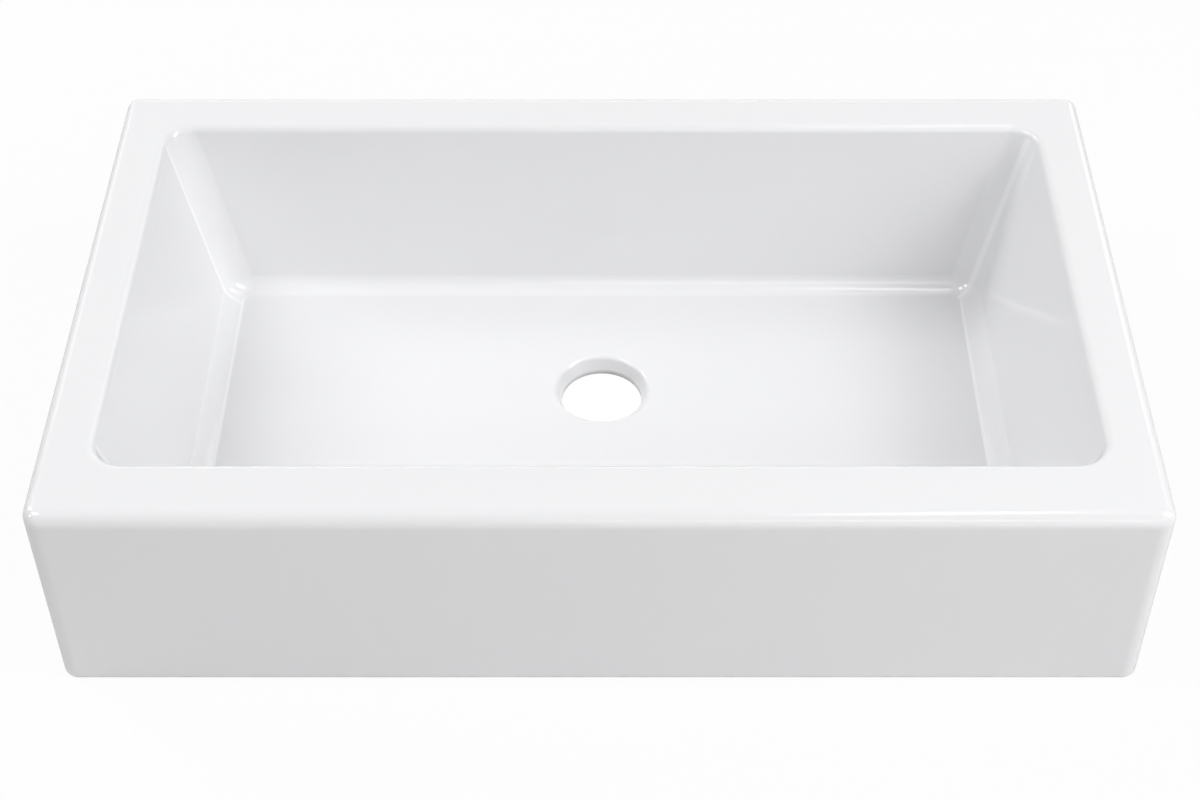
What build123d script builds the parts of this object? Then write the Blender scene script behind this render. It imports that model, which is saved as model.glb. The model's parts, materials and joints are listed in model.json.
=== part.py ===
from build123d import *
from math import cos, radians, tan
import os

# Farmhouse apron front sink: one hollow glazed fireclay casting and the rubber plugs that
# close the vent holes in its underside. Millimetres, +Z up. The origin is the centre of the
# underside, the apron faces -Y and the long side lies along X.

# ---- Outer block ----
WIDTH = 914.0  # left side to right side
DEPTH = 552.0  # apron face to back face
HEIGHT = 200.0  # underside to rim
CORNER_RADIUS = 15.0  # upright outer corners
RIM_EDGE_RADIUS = 10.0  # outer edge of the rim
BASE_EDGE_RADIUS = 2.5  # wiped, unglazed edge that the sink stands on

# ---- Rim, measured from the outer face to where the bowl wall would meet it sharply ----
RIM_FRONT = 62.0
RIM_BACK = 49.5
RIM_SIDE = 45.0
OPENING_EDGE_RADIUS = 8.0  # rounding where the rim turns down into the bowl

# ---- Bowl ----
FLOOR_THICKNESS = 18.0  # clay under the floor at the drain
FLOOR_FALL = 2.5  # drop from the foot of the walls to the drain
SIDE_SLOPE = 13.2  # degrees from upright
FRONT_SLOPE = 8.1
BACK_SLOPE = 8.1
BOWL_CORNER_RADIUS = 26.0  # upright inner corners
FLOOR_EDGE_RADIUS = 17.0  # rounding between the walls and the floor

# ---- Drain ----
DRAIN_SETBACK = 58.5  # drain axis behind the middle of the sink
DRAIN_MOUTH_DIAMETER = 88.0  # at floor level, before rounding
DRAIN_THROAT_DIAMETER = 76.0  # straight bore at the underside
DRAIN_THROAT_LENGTH = 5.0
DRAIN_MOUTH_RADIUS = 6.0  # rounding of the mouth
DRAIN_THROAT_RADIUS = 1.5  # rounding where the cone meets the bore
DRAIN_LAND = 6.0  # level ring of floor round the mouth

# ---- Hollow walls ----
OUTER_WALL = 18.0
BOWL_WALL = 18.0
RIM_THICKNESS = 18.0
BASE_THICKNESS = 18.0
CHAMBER_CORNER_RADIUS = 8.0

# ---- Vent holes through the base, one at each corner of the chamber ----
VENT_DIAMETER = 16.0
VENT_RECESS_DIAMETER = 26.0
VENT_RECESS_DEPTH = 3.0

# ---- Rubber vent plugs ----
PLUG_FLANGE_DIAMETER = 25.0
PLUG_FLANGE_THICKNESS = 2.4
PLUG_STEM_CLEARANCE = 0.2  # radial, between stem and vent hole
PLUG_BARB_DIAMETER = 19.0
PLUG_BARB_TIP_DIAMETER = 12.0
PLUG_BARB_LENGTH = 7.0
PLUG_BARB_CLEARANCE = 0.3  # between the barb and the top of the base
PLUG_CORE_DIAMETER = 7.0  # blind hollow that lets the barb squeeze through
PLUG_CORE_DEPTH = 16.0

# ---- Construction allowance ----
OVERSHOOT = 30.0  # how far a cutter runs past the surface it opens

FLOOR_EDGE_HEIGHT = FLOOR_THICKNESS + FLOOR_FALL


def wall_offset(half_size, rim, slope, height, growth):
    """Distance from the sink's middle plane to a sloping bowl wall at a height."""
    lean = (HEIGHT - height) * tan(radians(slope))
    return half_size - rim - lean + growth / cos(radians(slope))


def bowl_form(bottom, growth=0.0):
    """Four-sided bowl volume with sloping walls, set outward by growth, rounded corners."""
    top = HEIGHT + OVERSHOOT
    side_low = wall_offset(WIDTH / 2, RIM_SIDE, SIDE_SLOPE, bottom, growth)
    side_high = wall_offset(WIDTH / 2, RIM_SIDE, SIDE_SLOPE, top, growth)
    front_low = wall_offset(DEPTH / 2, RIM_FRONT, FRONT_SLOPE, bottom, growth)
    front_high = wall_offset(DEPTH / 2, RIM_FRONT, FRONT_SLOPE, top, growth)
    back_low = wall_offset(DEPTH / 2, RIM_BACK, BACK_SLOPE, bottom, growth)
    back_high = wall_offset(DEPTH / 2, RIM_BACK, BACK_SLOPE, top, growth)
    across = Polyline(
        (-side_low, bottom), (side_low, bottom), (side_high, top), (-side_high, top), close=True
    )
    along = Polyline(
        (-front_low, bottom), (back_low, bottom), (back_high, top), (-front_high, top), close=True
    )
    side_walls = extrude(Plane.XZ * make_face(across), amount=DEPTH, both=True)
    end_walls = extrude(Plane.YZ * make_face(along), amount=WIDTH, both=True)
    form = side_walls & end_walls
    corners = [edge for edge in form.edges() if abs(edge.tangent_at(0.5).Z) > 0.5]
    return fillet(corners, BOWL_CORNER_RADIUS + growth)


def bowl_cutter():
    """The space inside the bowl down to the foot of its walls."""
    form = bowl_form(FLOOR_EDGE_HEIGHT)
    floor = form.faces().sort_by(Axis.Z)[0]
    return fillet(floor.edges(), FLOOR_EDGE_RADIUS)


def floor_dish(bowl):
    """Shallow fall from the flat outline at the foot of the walls to the drain's land."""
    outline = bowl.faces().sort_by(Axis.Z)[0]
    land = Circle(DRAIN_MOUTH_DIAMETER / 2 + DRAIN_LAND).face()
    return loft([outline, Pos(0, DRAIN_SETBACK, FLOOR_THICKNESS) * land])


def drain_cutter():
    """Rounded mouth, cone and straight bore of the drain, turned about its axis."""
    mouth = DRAIN_MOUTH_DIAMETER / 2
    throat = DRAIN_THROAT_DIAMETER / 2
    land = mouth + DRAIN_LAND
    profile = make_face(
        Polyline(
            (0, -OVERSHOOT),
            (throat, -OVERSHOOT),
            (throat, DRAIN_THROAT_LENGTH),
            (mouth, FLOOR_THICKNESS),
            (land, FLOOR_THICKNESS),
            (land, FLOOR_EDGE_HEIGHT),
            (0, FLOOR_EDGE_HEIGHT),
            close=True,
        )
    )
    mouth_corner = profile.vertices().sort_by_distance((mouth, FLOOR_THICKNESS))[0]
    profile = fillet(mouth_corner, DRAIN_MOUTH_RADIUS)
    throat_corner = profile.vertices().sort_by_distance((throat, DRAIN_THROAT_LENGTH))[0]
    profile = fillet(throat_corner, DRAIN_THROAT_RADIUS)
    return Pos(0, DRAIN_SETBACK, 0) * revolve(Plane.XZ * profile, Axis.Z)


def outer_block():
    """Solid block with rounded upright corners, rim edge and base edge."""
    block = Pos(0, 0, HEIGHT / 2) * Box(WIDTH, DEPTH, HEIGHT)
    block = fillet(block.edges().filter_by(Axis.Z), CORNER_RADIUS)
    block = fillet(block.faces().sort_by(Axis.Z)[-1].edges(), RIM_EDGE_RADIUS)
    return fillet(block.faces().sort_by(Axis.Z)[0].edges(), BASE_EDGE_RADIUS)


def wall_chamber():
    """Closed hollow that runs round the bowl between its walls and the outer walls."""
    height = HEIGHT - BASE_THICKNESS - RIM_THICKNESS
    block = Box(WIDTH - 2 * OUTER_WALL, DEPTH - 2 * OUTER_WALL, height)
    block = fillet(block.edges().filter_by(Axis.Z), CHAMBER_CORNER_RADIUS)
    return Pos(0, 0, BASE_THICKNESS + height / 2) * block - bowl_form(0, BOWL_WALL)


def vent_places():
    """Name and X, Y of each vent, midway across the chamber's floor at its corners."""
    x_inner = wall_offset(WIDTH / 2, RIM_SIDE, SIDE_SLOPE, BASE_THICKNESS, BOWL_WALL)
    front_inner = wall_offset(DEPTH / 2, RIM_FRONT, FRONT_SLOPE, BASE_THICKNESS, BOWL_WALL)
    back_inner = wall_offset(DEPTH / 2, RIM_BACK, BACK_SLOPE, BASE_THICKNESS, BOWL_WALL)
    x = (WIDTH / 2 - OUTER_WALL + x_inner) / 2
    y_front = -(DEPTH / 2 - OUTER_WALL + front_inner) / 2
    y_back = (DEPTH / 2 - OUTER_WALL + back_inner) / 2
    return {
        "front_left": (-x, y_front),
        "front_right": (x, y_front),
        "back_left": (-x, y_back),
        "back_right": (x, y_back),
    }


def vent_cutter(x, y):
    """Hole through the base with a recess that takes the plug's flange."""
    hole = Pos(x, y, BASE_THICKNESS / 2) * Cylinder(VENT_DIAMETER / 2, BASE_THICKNESS + 2 * OVERSHOOT)
    recess = Pos(x, y, 0) * Cylinder(VENT_RECESS_DIAMETER / 2, 2 * VENT_RECESS_DEPTH)
    return hole + recess


def fireclay_casting():
    """The whole glazed body: block less bowl, floor fall, drain, chamber and vents."""
    bowl = bowl_cutter()
    body = outer_block() - bowl
    opening = body.faces().filter_by(Axis.Z).sort_by(Axis.Z)[-1].inner_wires()[0]
    body = fillet(opening.edges(), OPENING_EDGE_RADIUS)
    body = body - floor_dish(bowl) - drain_cutter() - wall_chamber()
    for x, y in vent_places().values():
        body = body - vent_cutter(x, y)
    return body


def vent_plug(x, y):
    """Rubber plug: flange in the recess, stem through the base, barb inside the chamber."""
    stem = VENT_DIAMETER / 2 - PLUG_STEM_CLEARANCE
    flange_low = VENT_RECESS_DEPTH - PLUG_FLANGE_THICKNESS
    barb_low = BASE_THICKNESS + PLUG_BARB_CLEARANCE
    tip = barb_low + PLUG_BARB_LENGTH
    core = PLUG_CORE_DIAMETER / 2
    profile = make_face(
        Polyline(
            (0, flange_low),
            (PLUG_FLANGE_DIAMETER / 2, flange_low),
            (PLUG_FLANGE_DIAMETER / 2, VENT_RECESS_DEPTH),
            (stem, VENT_RECESS_DEPTH),
            (stem, barb_low),
            (PLUG_BARB_DIAMETER / 2, barb_low),
            (PLUG_BARB_TIP_DIAMETER / 2, tip),
            (core, tip),
            (core, tip - PLUG_CORE_DEPTH),
            (0, tip - PLUG_CORE_DEPTH),
            close=True,
        )
    )
    return Pos(x, y, 0) * revolve(Plane.XZ * profile, Axis.Z)


def main():
    os.makedirs("parts", exist_ok=True)
    export_step(fireclay_casting(), "parts/fireclay_casting.step")
    for place, (x, y) in vent_places().items():
        export_step(vent_plug(x, y), f"parts/vent_plug_{place}.step")


main()
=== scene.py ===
import json
from math import acos, asin, cos, pi, radians, sin, tan
from typing import NamedTuple
import bmesh
import bpy
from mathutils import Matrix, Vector


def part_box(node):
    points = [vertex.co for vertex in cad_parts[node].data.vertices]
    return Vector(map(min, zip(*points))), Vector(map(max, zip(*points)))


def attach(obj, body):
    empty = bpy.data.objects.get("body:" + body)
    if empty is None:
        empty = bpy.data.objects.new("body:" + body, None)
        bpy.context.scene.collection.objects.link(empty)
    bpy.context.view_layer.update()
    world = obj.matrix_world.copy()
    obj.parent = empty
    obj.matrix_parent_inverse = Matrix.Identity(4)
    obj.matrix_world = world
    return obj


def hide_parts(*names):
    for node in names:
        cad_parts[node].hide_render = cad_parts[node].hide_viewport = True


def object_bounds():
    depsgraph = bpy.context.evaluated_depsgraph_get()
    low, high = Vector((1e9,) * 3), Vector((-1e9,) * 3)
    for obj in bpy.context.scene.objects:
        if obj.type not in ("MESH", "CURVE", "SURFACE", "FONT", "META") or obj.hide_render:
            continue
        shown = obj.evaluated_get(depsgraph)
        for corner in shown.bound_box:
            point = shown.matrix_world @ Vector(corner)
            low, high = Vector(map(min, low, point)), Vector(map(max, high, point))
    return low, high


# Farmhouse apron front sink. Metres, in the frame of the solid model: +Z up, the apron faces -Y,
# the origin is the centre of the underside.

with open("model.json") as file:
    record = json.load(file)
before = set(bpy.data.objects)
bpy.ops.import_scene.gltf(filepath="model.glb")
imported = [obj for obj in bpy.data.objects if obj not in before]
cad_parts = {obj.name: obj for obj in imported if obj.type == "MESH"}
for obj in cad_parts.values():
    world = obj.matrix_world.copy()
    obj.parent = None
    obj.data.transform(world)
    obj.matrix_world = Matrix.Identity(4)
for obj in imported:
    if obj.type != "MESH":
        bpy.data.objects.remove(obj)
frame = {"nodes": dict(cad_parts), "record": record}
cad_low, cad_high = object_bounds()

MM = 0.001

# ---- Sizes read from the frame ----
SIDE = cad_high.x
FRONT = cad_low.y
BACK = cad_high.y
TOP = cad_high.z
MOUNTS = {mount["name"]: mount for mount in frame["record"]["mounts"]}
DRAIN = Vector(MOUNTS["drain_outlet"]["pos_m"][:2])
THROAT_RADIUS = MOUNTS["drain_outlet"]["dims"]["r_mm"] * MM
PLUG_NODES = sorted(name for name in frame["nodes"] if name.startswith("vent_plug"))

# ---- Outer block ----
CORNER_RADIUS_FRONT = 15 * MM
CORNER_RADIUS_BACK = 11 * MM
RIM_EDGE_RADIUS_FRONT = 12.5 * MM
RIM_EDGE_RADIUS_REST = 9.5 * MM
BASE_EDGE_RADIUS = 2.5 * MM
FOOT_INSET = 9 * MM  # from the outer face to the first ring on the flat underside

# ---- Rim and bowl, as sharp corners before they are rounded ----
RIM_FRONT = 62 * MM
RIM_BACK = 49.5 * MM
RIM_SIDE = 45 * MM
OPENING_EDGE_RADIUS = 8 * MM
SIDE_SLOPE = radians(13.2)
END_SLOPE = radians(8.1)
BOWL_CORNER_RADIUS = 26 * MM
FLOOR_EDGE_RADIUS_SIDES = 20 * MM
FLOOR_EDGE_RADIUS_ENDS = 16 * MM
FLOOR_EDGE_FULLNESS_SIDES = 0.5  # flatter than an arc, with tight ends
FLOOR_EDGE_FULLNESS_ENDS = 1.0
FLOOR_HEIGHT = 18 * MM  # at the drain
FLOOR_FALL = 2.5 * MM

# ---- Rings that keep the edge roundings square to their edges ----
RING_IN_RIM = 1 * MM  # in from the inner end of the rim's rounding
RING_ROUND_OPENING = 10 * MM  # out from the opening
RING_ON_FLOOR = 21 * MM  # in from the foot of the walls

# ---- Drain ----
MOUTH_RADIUS = 44 * MM
MOUTH_EDGE_RADIUS = 6 * MM
LAND_RADIUS = 50 * MM
THROAT_HEIGHT = 5 * MM
THROAT_EDGE_RADIUS = 1.5 * MM
OUTLET_EDGE_RADIUS = 0.8 * MM
OUTLET_LAND = 6 * MM  # flat ring of underside round the outlet

# ---- Hollow walls and vents ----
WALL = 18 * MM
CHAMBER_CORNER_RADIUS = 8 * MM
VENT_RADIUS = 8 * MM
RECESS_RADIUS = 13 * MM
RECESS_DEPTH = 3 * MM
RECESS_EDGE_RADIUS = 0.6 * MM
RECESS_LAND = 3 * MM  # flat ring of underside round a recess

# ---- Rubber plugs ----
FLANGE_RADIUS = 12.5 * MM
FLANGE_EDGE_RADIUS = 0.7 * MM
STEM_RADIUS = 7.8 * MM
BARB_RADIUS = 9.5 * MM
BARB_TIP_RADIUS = 6 * MM
BARB_EDGE_RADIUS = 0.4 * MM
BARB_GAP = 0.3 * MM  # above the wall that the barb holds on to
DIMPLE_RADIUS = 4.5 * MM
DIMPLE_DEPTH = 0.8 * MM
DIMPLE_BOTTOM_RADIUS = 0.5 * MM  # of its rounding
DIMPLE_EDGE_RADIUS = 0.4 * MM
CENTRE_FACE_RADIUS = 0.1 * MM  # of the faces that close a plug's two ends

# ---- Painted highlight: a whiter glaze colour along the bowl's hollow edges ----
PAINTED_HIGHLIGHT = "painted_highlight_share"  # vertex attribute, 1 where the painted highlight is brightest
PAINTED_HIGHLIGHT_EVEN = 0.3  # the painted highlight's share over the rest of the bowl's hollow edges
HIGHLIGHT_LINE_RINGS = 4  # the brightest painted highlight line's width along a section
# the brightest painted highlight line in an upright corner, from and to, as its turn from the side
# wall
HIGHLIGHT_LINE_LEFT = (0, radians(10))
HIGHLIGHT_LINE_RIGHT = (radians(35), radians(48))
ROUND_OFF = 1e-6  # for directions that are square but for rounding

# ---- Mesh density ----
SHARP_ANGLE = radians(35)
# steps round the sink
LONG_SIDE_STEPS = 32
SHORT_SIDE_STEPS = 18
CORNER_STEPS = 20
STATIONS = 2 * (LONG_SIDE_STEPS + SHORT_SIDE_STEPS + 2 * CORNER_STEPS)
FIRST_ANGLE = -90 - 360 * LONG_SIDE_STEPS / 2 / STATIONS  # so that the front's middle is at -90
# steps of the roundings along a section
BASE_EDGE_STEPS = 5
RIM_EDGE_STEPS = 14
OPENING_EDGE_STEPS = 20
FLOOR_EDGE_STEPS = 24
MOUTH_EDGE_STEPS = 9
THROAT_EDGE_STEPS = 4
OUTLET_EDGE_STEPS = 4
# steps of the straight runs along a section
OUTER_FACE_STEPS = 8
RIM_STEPS = 2
BOWL_WALL_STEPS = 8
FLOOR_STEPS = 14
MOUTH_STEPS = 2
# turned pieces: steps round the axis, and of the roundings
TURNED_STEPS = 64
RECESS_EDGE_STEPS = 4
RECESS_TOP_STEPS = 3
DIMPLE_STEPS = 4
FLANGE_EDGE_STEPS = 5
BARB_EDGE_STEPS = 3


class Corner(NamedTuple):
    """A corner of a section, with the steps of its rounding and of the straight run after it."""

    point: Vector
    radius: float = 0
    arc_steps: int = 0
    run_steps: int = 1
    fullness: float = 1.0  # 1 rounds it as an arc; less gives a flatter middle and tighter ends


def between(first, second, share):
    return first + share * (second - first)


def point_at(flat, height):
    return Vector((flat.x, flat.y, height))


def outline(side, front, back, radius, back_radius=None):
    """Stations round a rounded rectangle, anticlockwise from the front side's left end.

    Each is a pair: the point and the outward direction there. The two corners at the back have
    the same radius as the front ones, unless back_radius gives their own."""
    at_back = back_radius or radius
    arcs = [
        (Vector((side - radius, front + radius)), -90, radius),
        (Vector((side - at_back, back - at_back)), 0, at_back),
        (Vector((at_back - side, back - at_back)), 90, at_back),
        (Vector((radius - side, front + radius)), 180, radius),
    ]
    steps = [LONG_SIDE_STEPS, SHORT_SIDE_STEPS, LONG_SIDE_STEPS, SHORT_SIDE_STEPS]
    stations = []
    for number, (centre, start, rounding_radius) in enumerate(arcs):
        facing = Vector((cos(radians(start)), sin(radians(start))))
        before = arcs[number - 1][0] + arcs[number - 1][2] * facing
        here = centre + rounding_radius * facing
        for step in range(steps[number]):
            stations.append((before.lerp(here, step / steps[number]), facing))
        for step in range(CORNER_STEPS):
            angle = radians(start + 90 * step / CORNER_STEPS)
            direction = Vector((cos(angle), sin(angle)))
            stations.append((centre + rounding_radius * direction, direction))
    return stations


def circle(centre, radius, height, count=STATIONS, first_angle=FIRST_ANGLE):
    """Evenly spaced points of a level circle, anticlockwise. Without a count, one for each station."""
    points = []
    for step in range(count):
        angle = radians(first_angle + 360 * step / count)
        points.append(Vector((centre.x + radius * cos(angle), centre.y + radius * sin(angle), height)))
    return points


def rounding(before, corner, after):
    """Points that round a corner between its neighbours, as a rational quadratic curve."""
    inward = (before.point - corner.point).normalized()
    outward = (after.point - corner.point).normalized()
    turn = pi - acos(max(-1, min(1, inward.dot(outward))))
    tangent = corner.radius * tan(turn / 2)
    start = corner.point + tangent * inward
    end = corner.point + tangent * outward
    weight = corner.fullness * cos(turn / 2)
    points = []
    for step in range(corner.arc_steps + 1):
        share = step / corner.arc_steps
        of_start, of_corner, of_end = (1 - share) ** 2, 2 * share * (1 - share) * weight, share**2
        total = of_start + of_corner + of_end
        points.append((of_start * start + of_corner * corner.point + of_end * end) / total)
    return points


def section(corners):
    """Points along a path of corners, rounded where they have a radius."""
    pieces = []
    for number, corner in enumerate(corners):
        if corner.radius:
            pieces.append(rounding(corners[number - 1], corner, corners[number + 1]))
        else:
            pieces.append([corner.point])
    points = []
    for corner, piece, following in zip(corners, pieces, pieces[1:]):
        run = corner.run_steps
        points += piece
        points += [piece[-1].lerp(following[0], step / run) for step in range(1, run)]
    return points + pieces[-1]


def ring_span(corners, number):
    """The ring numbers of a corner's arc, first and last, along a section."""
    first = sum(corner.arc_steps + corner.run_steps for corner in corners[:number])
    return first, first + corners[number].arc_steps


def add_strip(mesh, rings):
    """Quads between neighbouring closed rings. Returns the rings' vertices."""
    vertices = [[mesh.verts.new(point) for point in ring] for ring in rings]
    count = len(rings[0])
    for lower, upper in zip(vertices, vertices[1:]):
        for place in range(count):
            beside = (place + 1) % count
            mesh.faces.new((lower[place], lower[beside], upper[beside], upper[place]))
    return vertices


def fill_level(mesh, loops):
    """Fills the level area inside the first loop of vertices and outside the others."""
    edges = []
    for loop in loops:
        for number, vertex in enumerate(loop):
            ends = (loop[number - 1], vertex)
            edges.append(mesh.edges.get(ends) or mesh.edges.new(ends))
    bmesh.ops.triangle_fill(mesh, edges=edges, use_beauty=True)


def bowl_outline(height, growth=0.0):
    """The bowl walls' outline at a height, set outward by growth."""
    side_lean = (TOP - height) * tan(SIDE_SLOPE) - growth / cos(SIDE_SLOPE)
    end_lean = (TOP - height) * tan(END_SLOPE) - growth / cos(END_SLOPE)
    return outline(
        SIDE - RIM_SIDE - side_lean,
        FRONT + RIM_FRONT + end_lean,
        BACK - RIM_BACK - end_lean,
        BOWL_CORNER_RADIUS + growth,
    )


OPENING_EDGE, FLOOR_EDGE = 5, 6  # places of these corners in a casting section


def casting_corners():
    """The corners of one section for each station.

    They run from the underside up the outer face, over the rim, down the bowl's wall, over the
    floor and down the drain, back to the underside."""
    outer = outline(SIDE, FRONT, BACK, CORNER_RADIUS_FRONT, CORNER_RADIUS_BACK)
    opening = bowl_outline(TOP)
    foot_of_wall = bowl_outline(FLOOR_HEIGHT + FLOOR_FALL)
    land = circle(DRAIN, LAND_RADIUS, FLOOR_HEIGHT)
    mouth = circle(DRAIN, MOUTH_RADIUS, FLOOR_HEIGHT)
    throat = circle(DRAIN, THROAT_RADIUS, THROAT_HEIGHT)
    outlet = circle(DRAIN, THROAT_RADIUS, 0)
    outlet_land = circle(DRAIN, THROAT_RADIUS + OUTLET_LAND, 0)
    stations = []
    for number in range(STATIONS):
        flat, facing = outer[number]
        frontness = max(0, -facing.y) ** 2
        rim_radius = between(RIM_EDGE_RADIUS_REST, RIM_EDGE_RADIUS_FRONT, frontness)
        rim_inset = rim_radius + RING_IN_RIM
        hole, hole_facing = opening[number]
        sideness = hole_facing.x**2
        floor_radius = between(FLOOR_EDGE_RADIUS_ENDS, FLOOR_EDGE_RADIUS_SIDES, sideness)
        floor_fullness = between(FLOOR_EDGE_FULLNESS_ENDS, FLOOR_EDGE_FULLNESS_SIDES, sideness)
        foot = point_at(foot_of_wall[number][0], FLOOR_HEIGHT + FLOOR_FALL)
        on_floor = foot_of_wall[number][0] - RING_ON_FLOOR * hole_facing
        fallen = FLOOR_FALL * RING_ON_FLOOR / (land[number] - foot).length
        stations.append(
            [
                Corner(point_at(flat - FOOT_INSET * facing, 0)),
                Corner(point_at(flat, 0), BASE_EDGE_RADIUS, BASE_EDGE_STEPS, OUTER_FACE_STEPS),
                Corner(point_at(flat, TOP), rim_radius, RIM_EDGE_STEPS),
                Corner(point_at(flat - rim_inset * facing, TOP), run_steps=RIM_STEPS),
                Corner(point_at(hole + RING_ROUND_OPENING * hole_facing, TOP)),
                Corner(point_at(hole, TOP), OPENING_EDGE_RADIUS, OPENING_EDGE_STEPS, BOWL_WALL_STEPS),
                Corner(foot, floor_radius, FLOOR_EDGE_STEPS, fullness=floor_fullness),
                Corner(point_at(on_floor, foot.z - fallen), run_steps=FLOOR_STEPS),
                Corner(land[number]),
                Corner(mouth[number], MOUTH_EDGE_RADIUS, MOUTH_EDGE_STEPS, MOUTH_STEPS),
                Corner(throat[number], THROAT_EDGE_RADIUS, THROAT_EDGE_STEPS),
                Corner(outlet[number], OUTLET_EDGE_RADIUS, OUTLET_EDGE_STEPS),
                Corner(outlet_land[number]),
            ]
        )
    return stations


def mark_painted_highlights(layer, strips, corners):
    """Marks a painted highlight: along the floor's edge and down the bowl's four upright corners.

    There the glaze colour is drawn whiter, most in a line at the foot of the side walls and in a run
    down each upright corner."""
    wall_top = ring_span(corners, OPENING_EDGE)[1]
    floor_first, floor_last = ring_span(corners, FLOOR_EDGE)
    facings = [facing for _, facing in bowl_outline(TOP)]
    for ring in range(wall_top, floor_last):
        on_floor_edge = ring > floor_first
        for vertex, facing in zip(strips[ring], facings):
            in_corner = ROUND_OFF < abs(facing.y) < 1 - ROUND_OFF
            line_start, line_end = HIGHLIGHT_LINE_RIGHT if facing.x > 0 else HIGHLIGHT_LINE_LEFT
            brightening = PAINTED_HIGHLIGHT_EVEN if on_floor_edge or in_corner else 0
            if in_corner and line_start < asin(abs(facing.y)) < line_end:
                brightening = 1
            if ring >= floor_last - HIGHLIGHT_LINE_RINGS:
                brightening = max(brightening, facing.x**2)
            vertex[layer] = brightening


def rings_of(sections):
    """The sections' points taken across: one ring for each point along them."""
    return [list(ring) for ring in zip(*sections)]


def turned(centre, profile):
    """Rings of a profile of (radius, height) pairs turned about an upright axis."""
    return [circle(centre, radius, height, TURNED_STEPS, 0) for radius, height in profile]


def flat_profile(corners):
    """The section of a turned piece, from its corners.

    Each is given as (radius, height), and where it is rounded also the rounding and its steps."""
    path = [Corner(Vector((across, 0, up)), *rounded) for across, up, *rounded in corners]
    return [(point.x, point.z) for point in section(path)]


def vent_centre(node):
    low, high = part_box(node)
    return ((low + high) / 2).xy


def add_chamber(mesh, vent_tops):
    """The closed hollow round the bowl, whose floor the vents open into."""
    low, high = WALL, TOP - WALL
    outer = outline(SIDE - WALL, FRONT + WALL, BACK - WALL, CHAMBER_CORNER_RADIUS)
    inner_low = bowl_outline(low, WALL)
    inner_high = bowl_outline(high, WALL)
    rings = [
        [point_at(flat, low) for flat, _ in outer],
        [point_at(flat, high) for flat, _ in outer],
        [point_at(flat, high) for flat, _ in inner_high],
        [point_at(flat, low) for flat, _ in inner_low],
    ]
    strips = add_strip(mesh, rings)
    fill_level(mesh, [strips[0], strips[-1], *vent_tops])


def add_object(name, data):
    """A new object in the scene with the given mesh, camera or lamp data."""
    added = bpy.data.objects.new(name, data)
    bpy.context.scene.collection.objects.link(added)
    return added


def add_mesh_object(name, mesh):
    """A new object in the scene with the mesh, which is used up."""
    data = bpy.data.meshes.new(name)
    mesh.to_mesh(data)
    mesh.free()
    return add_object(name, data)


def new_piece(name, mesh):
    """A new object with the mesh, smooth shaded except over edges past the sharp angle."""
    bmesh.ops.recalc_face_normals(mesh, faces=mesh.faces)
    for face in mesh.faces:
        face.smooth = True
    for edge in mesh.edges:
        edge.smooth = edge.calc_face_angle(0) < SHARP_ANGLE
    piece = add_mesh_object(name, mesh)
    weighted = piece.modifiers.new("weighted_normals", "WEIGHTED_NORMAL")
    weighted.keep_sharp = True
    return piece


def make_casting():
    """Fireclay body, cast hollow, with the drain and a vent for each plug."""
    mesh = bmesh.new()
    # Painted highlight: each vertex keeps how much whiter the glaze colour is drawn there, along the
    # floor's edge and the upright corners
    highlight_share = mesh.verts.layers.float.new(PAINTED_HIGHLIGHT)
    stations = casting_corners()
    strips = add_strip(mesh, rings_of([section(corners) for corners in stations]))
    mark_painted_highlights(highlight_share, strips, stations[0])
    vent_profile = flat_profile(
        [
            (RECESS_RADIUS + RECESS_LAND, 0),
            (RECESS_RADIUS, 0, RECESS_EDGE_RADIUS, RECESS_EDGE_STEPS),
            (RECESS_RADIUS, RECESS_DEPTH, RECESS_EDGE_RADIUS, RECESS_TOP_STEPS),
            (VENT_RADIUS, RECESS_DEPTH),
            (VENT_RADIUS, WALL),
        ]
    )
    vents = [add_strip(mesh, turned(vent_centre(node), vent_profile)) for node in PLUG_NODES]
    fill_level(mesh, [strips[0], strips[-1], *[vent[0] for vent in vents]])
    add_chamber(mesh, [vent[-1] for vent in vents])
    return new_piece("glazed_sink_body", mesh)


def make_plug(node):
    """Rubber plug with a softly rounded flange and a moulded thumb dimple."""
    low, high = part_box(node)
    bottom, tip = low.z, high.z
    dimple_top = bottom + DIMPLE_DEPTH
    barb_bottom = WALL + BARB_GAP
    profile = flat_profile(
        [
            (CENTRE_FACE_RADIUS, dimple_top),
            (DIMPLE_RADIUS - DIMPLE_DEPTH, dimple_top, DIMPLE_BOTTOM_RADIUS, DIMPLE_STEPS),
            (DIMPLE_RADIUS, bottom, DIMPLE_EDGE_RADIUS, DIMPLE_STEPS),
            (FLANGE_RADIUS, bottom, FLANGE_EDGE_RADIUS, FLANGE_EDGE_STEPS),
            (FLANGE_RADIUS, RECESS_DEPTH),
            (STEM_RADIUS, RECESS_DEPTH),
            (STEM_RADIUS, barb_bottom),
            (BARB_RADIUS, barb_bottom, BARB_EDGE_RADIUS, BARB_EDGE_STEPS),
            (BARB_TIP_RADIUS, tip, BARB_EDGE_RADIUS, BARB_EDGE_STEPS),
            (CENTRE_FACE_RADIUS, tip),
        ]
    )
    mesh = bmesh.new()
    strips = add_strip(mesh, turned(vent_centre(node), profile))
    mesh.faces.new(strips[0])
    mesh.faces.new(strips[-1])
    return new_piece(node.replace("vent_plug", "rubber_plug"), mesh)


# ---- Colours ----
WHITE = (1, 1, 1)
GLAZE_COOL = (0.836, 0.838, 0.851)
GLAZE_WARM = (0.845, 0.846, 0.855)
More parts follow.
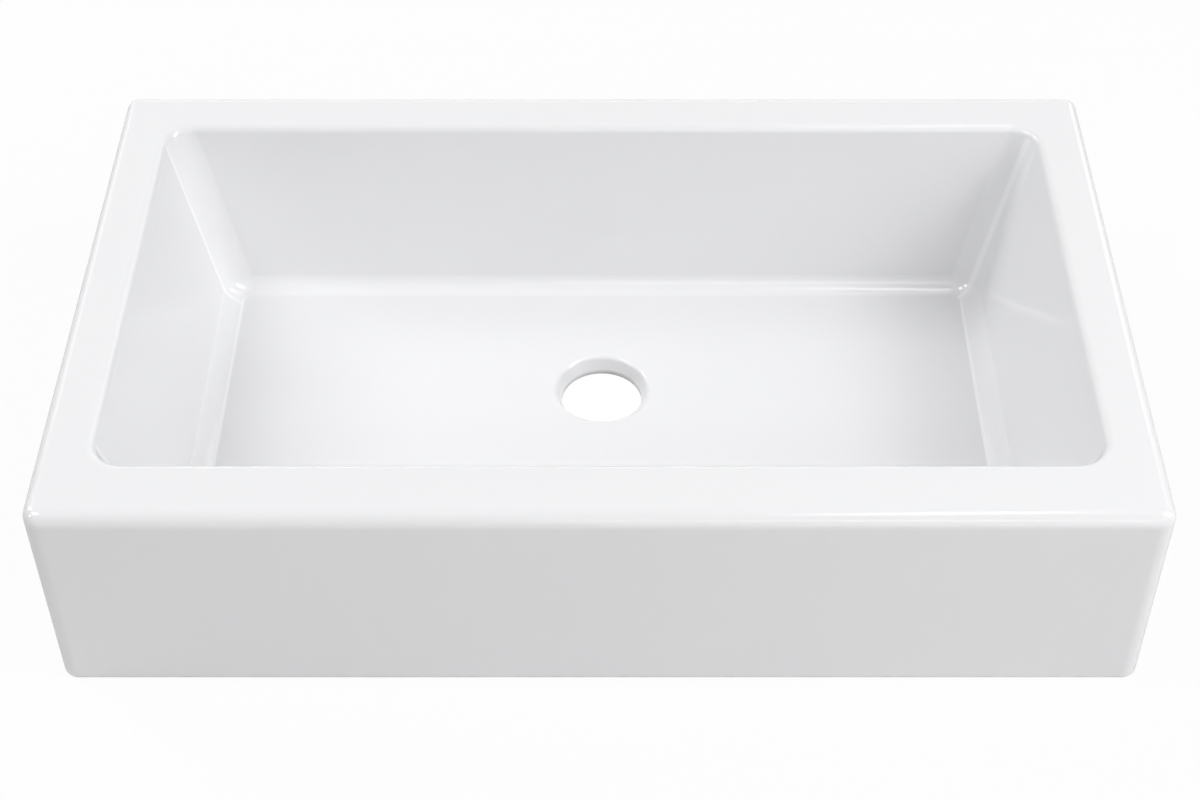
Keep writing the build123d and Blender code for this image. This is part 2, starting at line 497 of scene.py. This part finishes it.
# painted highlight colour of the glaze along the bowl's hollow edges
GLAZE_PAINTED_HIGHLIGHT = (0.95, 0.951, 0.96)
CLAY_DARK = (0.58, 0.57, 0.55)
CLAY_PALE = (0.68, 0.67, 0.65)
RUBBER_DARK = (0.022, 0.022, 0.024)
RUBBER_BLOOM = (0.05, 0.05, 0.052)

# ---- Finishes ----
GLAZE_ROUGHNESS = (0.045, 0.075)  # lowest and highest, in patches
GLAZE_IOR = 1.52
CLAY_ROUGHNESS = 0.75
RUBBER_ROUGHNESS = (0.5, 0.7)
BARE_AND_SHADED_HEIGHT = (1.8 * MM, 2.8 * MM)  # lowest and highest, up to which the foot is wiped bare; the bare band also paints shade along the base edge and in the drain's bore
GLAZE_START = 0.3 * MM  # height over which the glaze begins

# ---- Noise patterns, as (scale, detail), and the ranges of their values that are used ----
WIPED_EDGE_NOISE = (90, 2)
TINT_NOISE = (5, 3)
CLAY_NOISE = (160, 6)
SHEEN_NOISE = (30, 4)
FLOW_NOISE = (22, 1)
ORANGE_PEEL_NOISE = (220, 2)
GRIT_NOISE = (900, 5)
BLOOM_NOISE = (120, 4)
GRAIN_NOISE = (2200, 3)
GLAZE_NOISE_RANGE = (0.3, 0.7)
BLOOM_RANGE = (0.45, 0.8)
GRAIN_RANGE = (0.2, 0.8)

# ---- Relief, as (height, strength) ----
FLOW_RELIEF = (0.5 * MM, 0.02)
ORANGE_PEEL_RELIEF = (0.1 * MM, 0.03)
GRIT_RELIEF = (0.3 * MM, 0.6)
GRAIN_RELIEF = (0.1 * MM, 0.4)


class ShaderTree:
    """Short ways to add and feed the nodes of one material or world."""

    def __init__(self, owner):
        owner.use_nodes = True
        self.nodes = owner.node_tree.nodes
        self.links = owner.node_tree.links

    def feed(self, socket, value):
        """Gives a socket another node's output, a colour or a number."""
        if isinstance(value, bpy.types.NodeSocket):
            self.links.new(value, socket)
        elif isinstance(value, tuple):
            socket.default_value = (*value, 1)
        else:
            socket.default_value = value

    def add(self, kind, inputs=None, **settings):
        """A new node with its settings, fed with what inputs holds for its sockets."""
        node = self.nodes.new(kind)
        for name, value in settings.items():
            setattr(node, name, value)
        for socket, value in (inputs or {}).items():
            self.feed(node.inputs[socket], value)
        return node

    def noise(self, place, scale, detail):
        inputs = {"Vector": place, "Scale": scale, "Detail": detail}
        return self.add("ShaderNodeTexNoise", inputs).outputs["Fac"]

    def ramp(self, value, start, end, low=0.0, high=1.0):
        """Value taken from the range start to end into the range low to high, and not past it."""
        inputs = {"Value": value, "From Min": start, "From Max": end, "To Min": low, "To Max": high}
        return self.add("ShaderNodeMapRange", inputs).outputs["Result"]

    def mix(self, share, first, second, data_type="RGBA"):
        """Mix of two colours, or with another data type of two numbers or directions."""
        inputs = {"Factor": share, "A": first, "B": second}
        return self.add("ShaderNodeMix", inputs, data_type=data_type).outputs["Result"]

    def mix_shaders(self, share, first, second):
        return self.add("ShaderNodeMixShader", {0: share, 1: first, 2: second}).outputs[0]

    def math(self, operation, first, second):
        inputs = {0: first, 1: second}
        return self.add("ShaderNodeMath", inputs, operation=operation).outputs[0]

    def bump(self, height, distance, strength):
        inputs = {"Height": height, "Distance": distance, "Strength": strength}
        return self.add("ShaderNodeBump", inputs)

    def seen_straight(self, path):
        """1 for the rays that come from the camera, also through something clear."""
        return self.math("MAXIMUM", path.outputs["Is Camera Ray"], path.outputs["Is Transmission Ray"])


def new_material(name):
    """A material, its shader node and its shader tree."""
    material = bpy.data.materials.new(name)
    tree = ShaderTree(material)
    return material, tree.nodes["Principled BSDF"], tree


def white_glaze():
    """Glossy white glaze with a painted highlight along the bowl's hollow edges, over a matt foot and
    underside wiped bare, whose bare band also paints shade along the base edge and in the drain's
    bore.
    """
    material, shader, tree = new_material("white_glaze")
    place = tree.add("ShaderNodeTexCoord").outputs["Object"]
    height = tree.add("ShaderNodeSeparateXYZ", {0: place}).outputs["Z"]
    # Bare band: the foot's unglazed clay, which also paints shade along the base edge and at the
    # bottom of the drain's bore
    bare_and_shaded_up_to = tree.ramp(tree.noise(place, *WIPED_EDGE_NOISE), *GLAZE_NOISE_RANGE, *BARE_AND_SHADED_HEIGHT)
    glazed = tree.ramp(tree.math("SUBTRACT", height, bare_and_shaded_up_to), 0, GLAZE_START)

    own_tint = tree.mix(tree.noise(place, *TINT_NOISE), GLAZE_COOL, GLAZE_WARM)
    # Painted highlight: the glaze colour is mixed whiter where the vertex attribute marks the bowl's
    # hollow edges
    highlight_share = tree.add("ShaderNodeAttribute", attribute_name=PAINTED_HIGHLIGHT).outputs["Fac"]
    glaze = tree.mix(highlight_share, own_tint, GLAZE_PAINTED_HIGHLIGHT)
    clay = tree.mix(tree.noise(place, *CLAY_NOISE), CLAY_DARK, CLAY_PALE)
    tree.feed(shader.inputs["Base Color"], tree.mix(glazed, clay, glaze))

    sheen = tree.ramp(tree.noise(place, *SHEEN_NOISE), *GLAZE_NOISE_RANGE, *GLAZE_ROUGHNESS)
    tree.feed(shader.inputs["Roughness"], tree.mix(glazed, CLAY_ROUGHNESS, sheen, "FLOAT"))
    tree.feed(shader.inputs["IOR"], GLAZE_IOR)

    flow = tree.bump(tree.noise(place, *FLOW_NOISE), *FLOW_RELIEF)
    orange_peel = tree.bump(tree.noise(place, *ORANGE_PEEL_NOISE), *ORANGE_PEEL_RELIEF)
    tree.feed(orange_peel.inputs["Normal"], flow.outputs["Normal"])
    grit = tree.bump(tree.noise(place, *GRIT_NOISE), *GRIT_RELIEF)
    relief = tree.mix(glazed, grit.outputs["Normal"], orange_peel.outputs["Normal"], "VECTOR")
    tree.feed(shader.inputs["Normal"], relief)
    return material


def plug_rubber():
    """Matt dark grey rubber with a fine moulded grain and a paler bloom in patches."""
    material, shader, tree = new_material("plug_rubber")
    place = tree.add("ShaderNodeTexCoord").outputs["Object"]
    bloom = tree.ramp(tree.noise(place, *BLOOM_NOISE), *BLOOM_RANGE)
    grain = tree.noise(place, *GRAIN_NOISE)
    tree.feed(shader.inputs["Base Color"], tree.mix(bloom, RUBBER_DARK, RUBBER_BLOOM))
    tree.feed(shader.inputs["Roughness"], tree.ramp(grain, *GRAIN_RANGE, *RUBBER_ROUGHNESS))
    tree.feed(shader.inputs["Normal"], tree.bump(grain, *GRAIN_RELIEF).outputs["Normal"])
    return material


# ---- Making the pieces ----

body = make_casting()
body.data.materials.append(white_glaze())
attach(body, "root")
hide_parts("fireclay_casting")

rubber = plug_rubber()
for node in PLUG_NODES:
    plug = make_plug(node)
    plug.data.materials.append(rubber)
    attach(plug, "root")
    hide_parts(node)

# ---- Camera ----
CAMERA_TILT = 44.679  # degrees below level
CAMERA_PLACE = (0.010375, -1.42143, 1.46526)
FOCAL_PIXELS = 2171.4  # focal length in pixels of the picture
CENTRE_PIXEL = 612.47  # column of the picture that lies straight ahead
IMAGE_WIDTH = 1200
SENSOR = 36

# ---- Floor and world ----
FLOOR_REACH = 4.0
FLOOR_CUTOUT_INSET = 12 * MM  # from the sink's outer faces
FLOOR_DROP = 0.3 * MM  # below the sink's underside
FLOOR_COLOUR = (0.8, 0.8, 0.8)
FLOOR_ROUGHNESS = 0.9
FLOOR_SPECULAR = 0.1
BACKDROP_SEEN = 0.93  # share of backdrop white in the floor as the camera sees it; the rest is lit
BACKDROP_MIRRORED = 0.85  # the same share in reflections, where the backdrop is pale grey
MIRRORED_TONE = 0.62  # strength of that pale grey, where 1 is white
WORLD_LIGHT = 0.25  # strength of the even light, where 1 is white

# ---- Lamps ----
LAMP_TARGET = Vector((0, 0, 0.1))  # middle of the sink
SOFTBOXES = (
    # name, place, width, height, watts
    ("key_right", (3.05, -0.8, 2.4), 1.0, 2.5, 45.0),
    ("high_right", (2.3, -0.7, 3.1), 1.0, 1.6, 30.0),
    ("high_left", (-1.9, -0.5, 3.4), 1.0, 1.0, 32.0),
    ("back_left", (-2.6, 1.5, 2.6), 1.0, 1.4, 44.0),
    ("front_right", (2.3, -2.3, 2.4), 1.0, 1.0, 9.5),
    ("front", (0.6, -3.2, 2.2), 1.6, 0.8, 10.5),
    ("front_low", (1.1, -3.4, 0.55), 2.4, 1.0, 8.5),
    ("back_low", (0.0, 3.5, 1.45), 3.0, 0.7, 12.0),
)
REFLECTION_CARDS = (
    # the same, lit in the glaze's reflections alone
    ("card_over", (0.8, -0.3, 3.6), 1.6, 0.4, 8.0),
    ("card_right", (4.3, 6.3, 4.3), 2.2, 4.2, 38.0),
    ("card_left", (-4.3, 6.3, 4.3), 2.2, 4.2, 32.0),
    ("spark_right", (3.2, -0.9, 2.0), 0.8, 0.8, 60.0),
    ("spark_left", (-2.9, -0.9, 2.2), 0.5, 0.5, 30.0),
)


def make_camera():
    """Pinhole camera with the photo's tilt, place, focal length and centre column."""
    data = bpy.data.cameras.new("camera")
    data.sensor_width = SENSOR
    data.lens = SENSOR * FOCAL_PIXELS / IMAGE_WIDTH
    data.shift_x = (IMAGE_WIDTH / 2 - CENTRE_PIXEL) / IMAGE_WIDTH
    camera = add_object("camera", data)
    camera.location = CAMERA_PLACE
    camera.rotation_euler = (radians(90 - CAMERA_TILT), 0, 0)
    bpy.context.scene.camera = camera


def floor_material():
    """Pale floor that keeps the sink's shadow and otherwise looks like a pale backdrop."""
    material, shader, tree = new_material("pale_floor")
    tree.feed(shader.inputs["Base Color"], FLOOR_COLOUR)
    tree.feed(shader.inputs["Roughness"], FLOOR_ROUGHNESS)
    tree.feed(shader.inputs["Specular IOR Level"], FLOOR_SPECULAR)
    path = tree.add("ShaderNodeLightPath")
    white = tree.add("ShaderNodeEmission").outputs[0]
    mirrored = tree.add("ShaderNodeEmission", {"Strength": MIRRORED_TONE}).outputs[0]
    mirrored_share = tree.math("MULTIPLY", path.outputs["Is Glossy Ray"], BACKDROP_MIRRORED)
    seen_share = tree.math("MULTIPLY", tree.seen_straight(path), BACKDROP_SEEN)
    unseen = tree.mix_shaders(mirrored_share, shader.outputs[0], mirrored)
    surface = tree.mix_shaders(seen_share, unseen, white)
    tree.feed(tree.nodes["Material Output"].inputs["Surface"], surface)
    return material


def make_floor():
    """Pale floor with a cut-out under the sink, as open below as the cabinet of a fitted sink."""
    corners = [Vector(corner) for corner in ((-1, -1, 0), (1, -1, 0), (1, 1, 0), (-1, 1, 0))]
    middle = Vector((0, (FRONT + BACK) / 2, -FLOOR_DROP))
    half = Vector((SIDE - FLOOR_CUTOUT_INSET, (BACK - FRONT) / 2 - FLOOR_CUTOUT_INSET, 0))
    outside = [middle + FLOOR_REACH * corner for corner in corners]
    cutout = [middle + half * corner for corner in corners]
    mesh = bmesh.new()
    add_strip(mesh, [outside, cutout])
    floor = add_mesh_object("floor", mesh)
    floor.data.materials.append(floor_material())


def make_world():
    """White to the camera and in reflections, and a weaker even light on the rest."""
    world = bpy.data.worlds.new("studio")
    tree = ShaderTree(world)
    fill = tree.nodes["Background"]
    tree.feed(fill.inputs["Color"], WHITE)
    tree.feed(fill.inputs["Strength"], WORLD_LIGHT)
    white = tree.add("ShaderNodeBackground", {"Color": WHITE}).outputs[0]
    path = tree.add("ShaderNodeLightPath")
    seen = tree.math("MAXIMUM", tree.seen_straight(path), path.outputs["Is Glossy Ray"])
    surface = tree.mix_shaders(seen, fill.outputs[0], white)
    tree.feed(tree.nodes["World Output"].inputs["Surface"], surface)
    bpy.context.scene.world = world


def make_softbox(name, place, width, height, watts):
    """Rectangular lamp that faces the sink."""
    data = bpy.data.lights.new(name, "AREA")
    data.shape = "RECTANGLE"
    data.size = width
    data.size_y = height
    data.energy = watts
    lamp = add_object(name, data)
    lamp.location = place
    lamp.rotation_euler = (LAMP_TARGET - Vector(place)).to_track_quat("-Z", "Y").to_euler()
    return lamp


make_camera()
make_floor()
make_world()
for softbox in SOFTBOXES:
    make_softbox(*softbox)
for card in REFLECTION_CARDS:
    make_softbox(*card).visible_diffuse = False
bpy.context.scene.view_settings.view_transform = "Standard"
